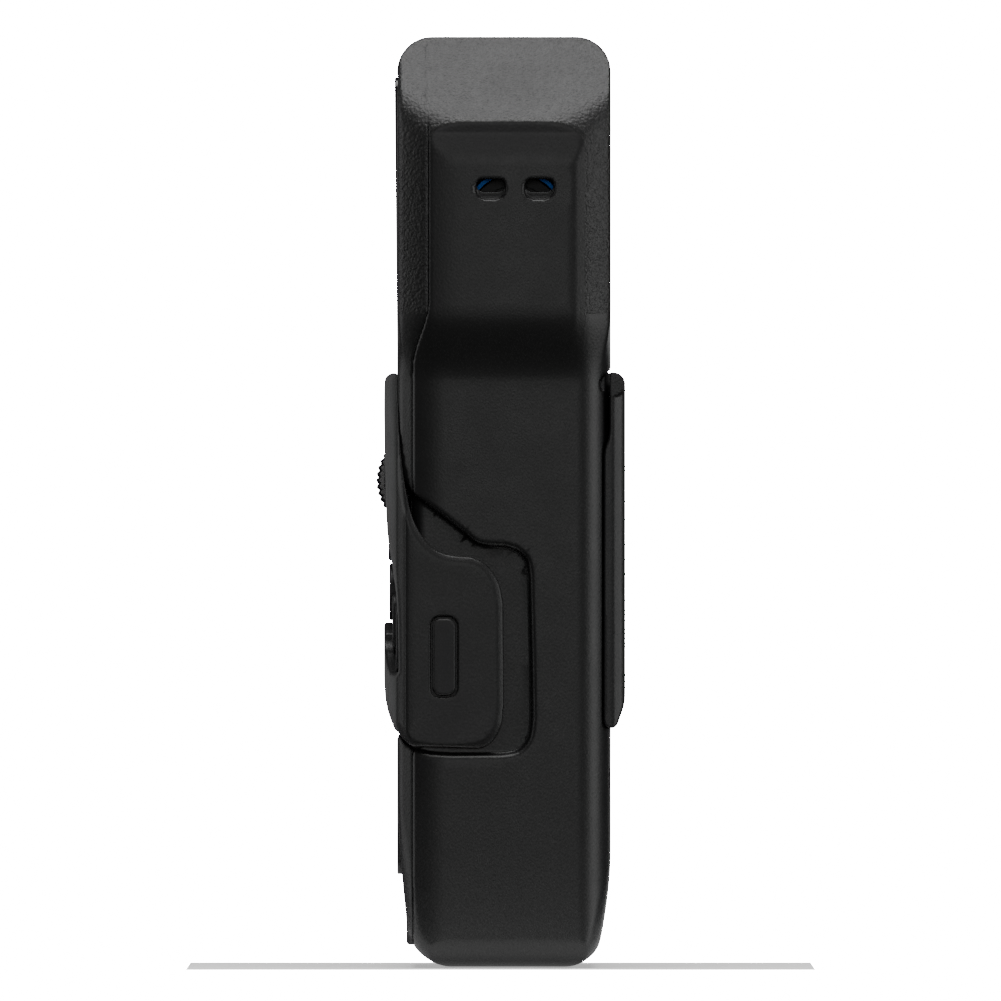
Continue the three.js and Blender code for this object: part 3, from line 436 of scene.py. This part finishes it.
# the case screws' x and z, and each key's x, z, half width, half height, corner radius and front
POSTS = ((-22.0, 30.0), (22.0, 30.0), (-24.3, 131.5), (24.3, 131.5))
KEYS = {"key_mark": (0, 66.2, 4.2, 1.5, 1.4, -18.05), "key_record": (0, 59.7, 4.6, 4.6, 4.6, -17.9),
        "key_back": (-10.8, 54.9, 4.0, 4.4, 2.4, -17.4), "key_forward": (10.8, 54.9, 4.0, 4.4, 2.4, -17.4),
        "key_stop": (-20.2, 52.5, 3.6, 5.3, 2.4, -16.8), "key_play": (20.2, 52.5, 3.6, 5.3, 2.4, -16.8)}


def rear_shell(step):
    g = Grid((-32, -15, -1), (32, 21, 149.5), step)
    X, Y, Z, A = g.X, g.Y, g.Z, g.A
    out, _ = outline(g)
    inner = both(out + F(1.8), F(3.2) - Z)
    inner = np.maximum(inner, np.where(Z < 99, A - F(25.3), F(-9)))
    f = less(out, inner)
    solid = block(g, (-17.8, 17.8), (0.5, 30), (36.6, 93.2))
    solid = either(solid, block(g, (-26, 26), (13.6, 30), (91.4, 96.4)))
    for x, z in POSTS:
        solid = either(solid, rod(X, Z, Y, x, z, 3.0, -5.7, 30))
    solid = either(solid, block(g, (-6.4, 6.4), (8.8, 30), (15.6, 28.4)))
    f = either(f, both(out, solid))
    lip = less(both(out + F(0.25) - F(0.22) * ease((Z - F(133.6)) / F(1.2)), -seam(g) - F(0.8)), inner)
    f = either(parted(g, f, F(0.01) - seam(g)), lip)
    f = less(f, well(g), F(0.9) - F(0.8) * ease((Z - F(74)) / F(3)))
    # each sound slot is a hole in the upper part of a shallow step
    for y in (-1.55, 6.2):
        floor = F(30.5) - A + F(0.12) * (Z - F(123.9))
        f = less(f, both(pill(Y, Z, y, 123.9, 2.4, 1.6, 1.5), floor, 0.1), 0.06)
        f = less(f, both(pill(Y, Z, y, 124.5, 2.25, 1.0, 0.95), F(27.5) - A), 0.12)
    # battery well, hinge groove and door seat
    f = less(f, block(g, (-16.1, 16.1), (2.2, 30), (38.8, 91.4)), 0.3)
    f = less(f, block(g, (-2.6, 2.6), (14.6, 16.2), (36.4, 39.8)))
    f = less(f, rod(Y, Z, X, *HINGE, 2.25, -20.3, 20.3))
    f = less(f, block(g, (-24.5, 24.5), (16.7, 30), (89.8, 95.0)))
    f = less(f, both(rod(Y, Z, A, *HINGE, 2.15, 25.85, 40), F(91.8) - Z))
    f = less(f, both(both(F(24.4) - A, F(17.15) - Y), span(Z, 91.6, 95)))
    skirt = poly(Y, Z, SKIRT)
    f = less(f, both(both(F(24.9) - A, skirt - F(0.15)), Z - F(84.4)))
    for x, z in POSTS:
        f = less(f, rod(X, Z, Y, x, z, 2.5, 8.3, 30), 0.25)
        f = less(f, rod(X, Z, Y, x, z, 1.3, -30, 30))
    f = less(f, rod(X, Z, Y, 0, 22, 4.66, 9.9, 30), 0.2)
    for z in (11.6, 21.6):
        f = less(f, rod(Y, Z, X, -4, z, 3.2, -40, -20), 0.25)
    f = less(f, block(g, (-40, -20), (9.3, 11.7), (64, 74.5)), 0.2)
    f = less(f, both(both(F(20) - A, span(Y, -10.2, -7.8)), span(Z, 45.9, 52.9)))
    f = less(f, block(g, (-11.8, 17.8), (-8.9, -0.35), (-5, 2.5)), 0.15)
    f = less(f, block(g, (-10.3, -0.7), (-6.6, -3.0), (-5, 6)))
    f = less(f, block(g, (3.3, 15.7), (-6.4, -4.2), (-5, 6)))
    f = less(f, rod(Y, Z, X, -1.6, 1.35, 0.52, -12.9, 18.9))
    ear = rod(Y, Z, A, *HINGE, KNUCKLE, 20.3, 24.4, 0.3)
    f = either(f, ear, 0.3)
    f = less(f, rod(Y, Z, A, *HINGE, 0.9, 19, 24))
    mesh("v_rear_shell", g, f, "housing", SHELL, "rear_shell")


def front_shell(step):
    g = Grid((-32, -17.7, -1), (32, -5, 149.5), step)
    X, Y, Z, A = g.X, g.Y, g.Z, g.A
    out, _ = outline(g)
    f = parted(g, out, seam(g) + F(0.01))
    lip = both(both(A - F(24.9), span(Z, 3.5, 103.7)), span(Y, -15, -12.8))
    f = either(f, lip)
    f = less(f, both(pill(X, Z, 0, 119.2, 24.2, 22.9, 3), Y + F(15.2)), 0.2)
    f = less(f, both(pill(X, Z, 0, 24.1, 24.2, 9.7, 2.6), Y + F(15.2)), 0.15)
    f = less(f, block(g, (-19.6, 19.6), (-40, 0), (102, 136.4)))
    f = less(f, block(g, (-21.9, 21.9), (-14.2, 0), (99.7, 138.8)))
    f = less(f, well(g), F(0.6) - F(0.5) * ease((Z - F(74)) / F(3)))
    f = less(f, block(g, (-4.6, 12.5), (-20, -12), (67.4, 87.6)))
    f = less(f, rod(X, Z, Y, 0, 24.5, 8, -40, 0))
    for k in KEYS.values():
        f = less(f, rod(X, Z, Y, k[0], k[1], 1.4, -40, 0))
    f = either(f, block(g, (-8.6, -6.4), (-14.2, -9.2), (73.9, 81.1)))
    for x, z in POSTS:
        f = either(f, rod(X, Z, Y, x, z, 2.3, -14.1, -6))
        f = less(f, rod(X, Z, Y, x, z, 1.1, -13.4, 0))
    f = less(f, rod(Y, Z, X, *WHEEL, 1.32, -9, 12.5))
    mesh("v_front_shell", g, f, "housing", SHELL, "front_shell")


def control_cover(step):
    g = Grid((-29.6, -19.6, 33.4), (29.6, 1.4, 95.6), step)
    X, Y, Z, A = g.X, g.Y, g.Z, g.A
    half = [(28.7, 60), (28.7, -13.2), (28.3, -14.9), (26.9, -16.1), (25.0, -16.8), (17, -17.9), (8, -18.6)]
    arc = curve(half + [(0, -18.8)] + [(-x, y) for x, y in reversed(half)], 5)
    plan = poly(X, Y, arc)
    brow = curve([(-17.2, 94.75), (-18.2, 94.2), (-18.75, 92.6), (-18.8, 84), (-18.8, 70)], 4)
    lip = curve([(-18.8, 46.5), (-18.62, 43.6), (-18.0, 40.6), (-16.9, 37.8), (-15.7, 35.2)], 4)
    prof = poly(Y, Z, brow + lip + [(60, 33), (60, 94.75)])
    side = poly(Y, Z, SIDE)
    edge = F(0.93) * plan + F(0.37) * (side + F(0.95))
    f = both(soft(both(plan, prof, 0.5), edge, 0.12), side, 0.12)
    # finger scoop: its floor falls away below the wheel, its lower edge arches over the keys
    fall = curve([(-19.2, 88), (-18.72, 80), (-18.15, 69.5), (-17.4, 64.6), (-16.5, 58), (-16.25, 50),
                  (-16.2, 40)], 4)
    floor = poly(Y, Z, [(-60, 88)] + fall + [(-60, 40)])
    rise = [(-30, 46.4), (-25, 46.5), (-20, 46.9), (-15, 48.0), (-10.8, 49.9), (-5.4, 53.6)]
    crest = curve(rise + [(0, 54.9)] + [(-x, z) for x, z in reversed(rise)], 4)
    arch = poly(X, Z, [(-90, 120), (-90, 46.6)] + crest + [(90, 46.6), (90, 120)])
    f = less(f, both(floor, arch, 0.7), 0.6)
    f = less(f, cover_core(g, 0.3), 0.15)
    f = less(f, both(pill(X, Z, 0, 77.5, 4.6, 8.4, 1.5), Y + F(5)), 0.4)
    for x, z, hx, hz, r, _ in KEYS.values():
        f = less(f, both(pill(X, Z, x, z, hx + 0.3, hz + 0.3, r + 0.3), Y + F(5)), 0.2)
    f = less(f, both(pill(Y, Z, -9.0, 49.4, 2.15, 6.45, 1.6), F(20) - A), 0.25)
    mesh("v_control_cover", g, f, "housing", COVER, "control_cover")


def front_keys(step):
    for name, (x, z, hx, hz, r, front) in KEYS.items():
        g = Grid((x - hx - 1, front - 0.8, z - hz - 1), (x + hx + 1, -12.2, z + hz + 1), step)
        X, Y, Z = g.X, g.Y, g.Z
        rim = pill(X, Z, x, z, hx, hz, r)
        dish = F(0.22) * np.exp(-((X - F(x)) ** 2 / F(hx * hx * 0.5) + (Z - F(z)) ** 2 / F(hz * hz * 0.5)))
        f = both(rim, span(Y, front, -15.7), 0.5)
        f = both(f, F(front) + dish - Y, 0.3)
        f = either(f, rod(X, Z, Y, x, z, 1.1, -16, -12.8, 0.1))
        mesh("v_" + name, g, f, name, REDM if name == "key_record" else KEYM, name)


def side_keys(step):
    for s, side in ((1, "right"), (-1, "left")):
        g = Grid((min(s * 23.5, s * 29.6), -11.8, 42.3), (max(s * 23.5, s * 29.6), -6.2, 56.5), step)
        f = both(pill(g.Y, g.Z, -9.0, 49.4, 1.8, 6.1, 1.3), span(g.A, 28.0, 28.9), 0.35)
        f = either(f, both(both(span(g.Y, -9.9, -8.1), span(g.Z, 46.2, 52.6)), span(g.A, 24.1, 28.3)))
        mesh(f"v_side_key_{side}", g, f, f"side_key_{side}", KEYM, f"side_key_{side}")


def thumbwheel(step):
    g = Grid((-4.6, -20.4, 69), (4.6, -3.4, 86), step)
    X, Y, Z = g.X, g.Y, g.Z
    dy, dz = Y - F(WHEEL[0]), Z - F(WHEEL[1])
    rad, ang = hyp(dy, dz), np.arctan2(dz, dy)
    teeth = F(0.34) * (F(0.5) + F(0.5) * np.cos(ang * F(46))) ** F(0.6)
    f = both(rad - F(8.0) + F(0.34) - teeth, span(X, -4, 4), 0.5)
    f = less(f, both(both(rad - F(6.2), F(3.2) - rad), F(1.2) - np.abs(X)), 0.3)
    f = less(f, rad - F(1.35))
    mesh("v_thumbwheel", g, f, "thumbwheel", WHEELM, "thumbwheel")


def front_plates(step):
    g = Grid((-24.6, -17.4, 96), (24.6, -15.0, 142.4), step)
    f = both(pill(g.X, g.Z, 0, 119.2, 23.9, 22.6, 2.7), span(g.Y, -18, -15.5), 0.1)
    f = both(f, plane(g.Y, g.Z, -16.9, 141.8, (-1, -0.0094)), 0.35)
    mesh("v_display_window", g, f, "housing", GLOSS, "display_window")
    g = Grid((-24.6, -17.2, 14), (24.6, -15.0, 34.2), step)
    f = both(pill(g.X, g.Z, 0, 24.1, 23.9, 9.4, 2.3), span(g.Y, -16.5, -15.5), 0.3)
    for dz in (-5.4, -3.6, -1.8, 0, 1.8, 3.6, 5.4):
        f = less(f, pill(g.X, g.Z, 0, 24.5 + dz, math.sqrt(7.2**2 - dz**2), 0.45, 0.44), 0.2)
    mesh("v_speaker_grille", g, f, "housing", SHELL, "speaker_grille")


def battery_door(step):
    g = Grid((-27.8, 15, 36.8), (27.8, 20.6, 95.6), step)
    X, Y, Z, A = g.X, g.Y, g.Z, g.A
    f = both(both(A - F(26.9), plane(A, Y, 26.9, 18.0, (0.88, 0.47)), 0.1), Y - F(19.9), 0.7)
    f = both(f, both(F(37.9) - Z, plane(Y, Z, 19.9, 42.0, (0.94, -0.34)), 0.9), 0.4)
    f = both(f, Z - F(HINGE[1]))
    skirt = poly(Y, Z, SKIRT)
    f = both(f, skirt, 0.25)
    f = less(f, both(Y - F(17.9), A - F(25.2)), 0.1)
    f = less(f, rod(Y, Z, A, *HINGE, 2.25, 20.0, 24.7))
    f = either(f, rod(Y, Z, X, *HINGE, KNUCKLE, -20, 20, 0.25))
    f = either(f, both(rod(Y, Z, A, *HINGE, KNUCKLE, 26.05, 26.9, 0.1), skirt, 0.1))
    f = less(f, block(g, (-6.3, 6.3), (18.8, 30), (42.3, 53.3)), 0.2)
    f = less(f, block(g, (-2.4, 2.4), (0, 30), (43.7, 48.9)))
    f = less(f, rod(Y, Z, A, *HINGE, 0.9, -1, 24.7))
    mesh("v_battery_door", g, f, "battery_door", SHELL, "battery_door")


def small_pieces(step):
    """The slider, latch, flap, sockets, insert and screws."""
    g = Grid((-30.6, 7.6, 63), (-24, 13.4, 73), step)
    f = both(pill(g.Y, g.Z, 10.5, 68, 2.2, 4.4, 0.7), span(g.X, -29.6, -28.7), 0.3)
    for dz in (-2.4, -0.8, 0.8, 2.4):
        f = either(f, block(g, (-30, -29.4), (8.8, 12.2), (67.7 + dz, 68.3 + dz), 0.2), 0.15)
    f = either(f, block(g, (-28.9, -24.4), (9.6, 11.4), (66, 70)))
    f = either(f, block(g, (-24.9, -24.1), (8.6, 12.4), (65, 71)))
    mesh("v_power_slider", g, f, "power_slider", KEYM, "power_slider")
    g = Grid((-6.6, 14.6, 38.8), (6.6, 20.2, 53.6), step)
    f = block(g, (-6, 6), (19.0, 19.55), (45, 53), 0.24)
    for dz in (2.4, 4.0, 5.6):
        f = either(f, block(g, (-4.6, 4.6), (19.4, 19.85), (44.65 + dz, 45.35 + dz), 0.2), 0.12)
    f = either(f, block(g, (-2.1, 2.1), (15.3, 19.2), (46.4, 48.6)))
    f = either(f, block(g, (-2.1, 2.1), (14.9, 15.9), (39.3, 48.6), 0.2))
    mesh("v_door_latch", g, f, "door_latch", KEYM, "door_latch")
    g = Grid((-13, -9, -0.2), (19, -0.4, 2.9), step)
    f = both(block(g, (-11.5, 17.5), (-8.6, -1.6), (0.2, 1.8), 0.25), F(0) - g.Z)
    f = either(f, rod(g.Y, g.Z, g.X, -1.6, 1.15, 0.95, -11.5, 17.5, 0.2), 0.3)
    f = either(f, rod(g.Y, g.Z, g.X, -1.6, 1.35, 0.42, -12.6, 18.6))
    f = either(f, block(g, (4, 15), (-6.1, -4.5), (1.7, 2.3), 0.15))
    f = less(f, block(g, (-1, 7), (-9, -7.9), (-1, 0.75), 0.25), 0.2)
    mesh("v_port_flap", g, f, "port_flap", KEYM, "port_flap")
    for name, z in (("jack_phones", 11.6), ("jack_line", 21.6)):
        g = Grid((-28.6, -8, z - 4), (-12.6, 0, z + 4), step)
        f = block(g, (-24.8, -13), (-7.5, -0.5), (z - 3.5, z + 3.5), 0.4)
        f = either(f, rod(g.Y, g.Z, g.X, -4, z, 2.9, -28.2, -24, 0.3))
        f = less(f, rod(g.Y, g.Z, g.X, -4, z, 1.75, -60, -14.4), 0.25)
        f = less(f, rod(g.Y, g.Z, g.X, -4, z, 2.25, -60, -27.95), 0.15)
        mesh("v_" + name, g, f, "housing", INNER, name)
    g = Grid((-5, 9.8, 17), (5, 18, 27), step)
    f = rod(g.X, g.Z, g.Y, 0, 22, 4.5, 10.2, 17.4, 0.3)
    turn = np.arctan2(g.Z - F(22), g.X) / F(2 * math.pi)
    thread = F(2) * np.abs((g.Y / F(1.27) + turn) % 1 - F(0.5))
    f = less(f, both(hyp(g.X, g.Z - F(22)) - F(3.0) - F(0.32) * thread, F(11.2) - g.Y), 0.1)
    f = less(f, both(hyp(g.X, g.Z - F(22)) - F(3.5) - (g.Y - F(17.4)), F(16.6) - g.Y), 0.1)
    mesh("v_tripod_insert", g, f, "housing", BRASS, "tripod_insert")
    for i, (x, z) in enumerate(POSTS):
        g = Grid((x - 2.6, -13.4, z - 2.6), (x + 2.6, 10.7, z + 2.6), step)
        X, Y, Z = g.X, g.Y, g.Z
        f = either(rod(X, Z, Y, x, z, 1.0, -13.1, 8.8, 0.2), rod(X, Z, Y, x, z, 2.2, 8.4, 10.2, 0.5))
        level = block(g, (x - 1.3, x + 1.3), (9.4, 12), (z - 0.3, z + 0.3))
        cross = either(level, block(g, (x - 0.3, x + 0.3), (9.4, 12), (z - 1.3, z + 1.3)))
        mesh(f"v_case_screw_{i + 1}", g, less(f, cross, 0.1), "housing", DARKM, f"case_screw_{i + 1}")


def battery_parts(step):
    """The two cells, one of them upside down, and the coil contacts under them."""
    for name, x, up in (("cell_left", -7.5, True), ("cell_right", 7.5, False)):
        g = Grid((x - 7.5, 2.1, 39.9), (x + 7.5, 17.1, 91.2), step)
        W = g.Z if up else F(131.1) - g.Z
        f = rod(g.X, g.Y, W, x, CELL_Y, 7.1, 40.3, 89.8, 0.6)
        f = either(f, rod(g.X, g.Y, W, x, CELL_Y, 2.7, 88.8, 90.8, 0.3), 0.3)
        rad = hyp(g.X - F(x), g.Y - F(CELL_Y))
        f = less(f, both(rad - F(5.6), F(4.6) - rad) + np.maximum(0, F(89.5) - W))
        mesh("v_" + name, g, f, "housing", CELLM, name)
    for name, x in (("contact_left", -7.5), ("contact_right", 7.5)):
        g = Grid((x - 5.3, 4.8, 38.6), (x + 5.3, 14.4, 40.5), step)
        f = block(g, (x - 5, x + 5), (5.1, 14.1), (38.9, 39.3), 0.15)
        rad = hyp(g.X - F(x), g.Y - F(CELL_Y))
        lap = (rad / F(0.85) - np.arctan2(g.Y - F(CELL_Y), g.X - F(x)) / F(2 * math.pi)) % 1
        coil = hyp((lap - F(0.5)) * F(0.85), g.Z - F(40.2) + F(0.25) * rad + F(0.28)) - F(0.26)
        f = either(f, both(coil, rad - F(2.6)), 0.1)
        f = either(f, rod(g.X, g.Y, g.Z, x, CELL_Y, 2.4, 39.2, 39.5, 0.1))
        mesh("v_" + name, g, f, "housing", STEEL, name)


rear_shell(0.3)
front_shell(0.3)
control_cover(0.22)
front_keys(0.15)
side_keys(0.15)
thumbwheel(0.12)
front_plates(0.15)
battery_door(0.22)
small_pieces(0.13)
battery_parts(0.2)

# ------------------------------------------------------------------ pieces shown as packed

LOOKS = (
    (STEEL, "wheel_axle usb_socket card_socket door_pin contact_bridge"),
    (DARKM, "wheel_encoder speaker slide_switch"),
    (INNER, "display_module capsule_boot_right capsule_boot_left capsule_bridge key_mat memory_card"),
    (CANM, "capsule_right capsule_left"),
    (BLUE, "capsule_ring_right capsule_ring_left"),
    (GREEN, "main_board"),
)
for look, nodes in LOOKS:
    for node in nodes.split():
        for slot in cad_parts[node].material_slots:
            slot.link = "OBJECT"
            slot.material = look

# ------------------------------------------------------------------ studio


def stage_plane(name, size, at, turn, strength, color=(1, 1, 1)):
    """The floor or the backdrop: a pale sheet that also glows."""
    bpy.ops.mesh.primitive_plane_add(size=1, location=at, rotation=turn)
    ob = bpy.context.object
    ob.name = name
    ob.scale = (*size, 1)
    m = bpy.data.materials.new(name)
    m.use_nodes = True
    b = m.node_tree.nodes["Principled BSDF"]
    b.inputs["Base Color"].default_value = (*color, 1)
    b.inputs["Roughness"].default_value = 0.9
    b.inputs["Emission Color"].default_value = (1, 1, 1, 1)
    b.inputs["Emission Strength"].default_value = strength
    ob.data.materials.append(m)


def light(name, at, aim, size, power):
    d = bpy.data.lights.new(name, "AREA")
    d.shape = "RECTANGLE"
    d.size, d.size_y = size
    d.energy = power
    ob = bpy.data.objects.new(name, d)
    ob.location = at
    ob.rotation_euler = (Vector(aim) - Vector(at)).to_track_quat("-Z", "Y").to_euler()
    bpy.context.scene.collection.objects.link(ob)


stage_plane("floor", (0.10, 0.10), (0, 0, -0.0002), (0, 0, 0), 0.42, (0.9, 0.9, 0.9))
stage_plane("backdrop", (0.5, 0.5), (-8.0, 0, 0.0743), (0, math.pi / 2, 0), 36.0)
light("top", (0.15, 0, 0.9), (0, 0, 0.12), (0.7, 0.7), 8)
light("front_side", (0.02, -0.75, 0.2), (0, 0, 0.08), (0.5, 0.6), 1.5)
light("rear_side", (0.36, 0.66, 0.15), (0, 0, 0.08), (0.42, 0.6), 2.0)
light("left_front", (-1.5, -0.6, 0.1), (0, 0, 0.08), (0.6, 0.6), 0.35)
light("left_rear", (-1.5, 0.6, 0.1), (0, 0, 0.08), (0.6, 0.6), 1.2)
light("fill", (1.9, 0.0, 0.35), (0, 0, 0.075), (0.5, 0.5), 3)
world = bpy.data.worlds.new("world")
bpy.context.scene.world = world
world.use_nodes = True
world.node_tree.nodes["Background"].inputs["Color"].default_value = (1, 1, 1, 1)
world.node_tree.nodes["Background"].inputs["Strength"].default_value = 0.08

cam = bpy.data.cameras.new("camera")
cam_ob = bpy.data.objects.new("camera", cam)
bpy.context.scene.collection.objects.link(cam_ob)
distance = 6.0
cam.lens = 36.0 * distance / 0.16016
cam.sensor_width = 36.0
cam_ob.location = (distance, 0, 0.0743)
cam_ob.rotation_euler = (math.pi / 2, 0, math.pi / 2)
bpy.context.scene.camera = cam_ob
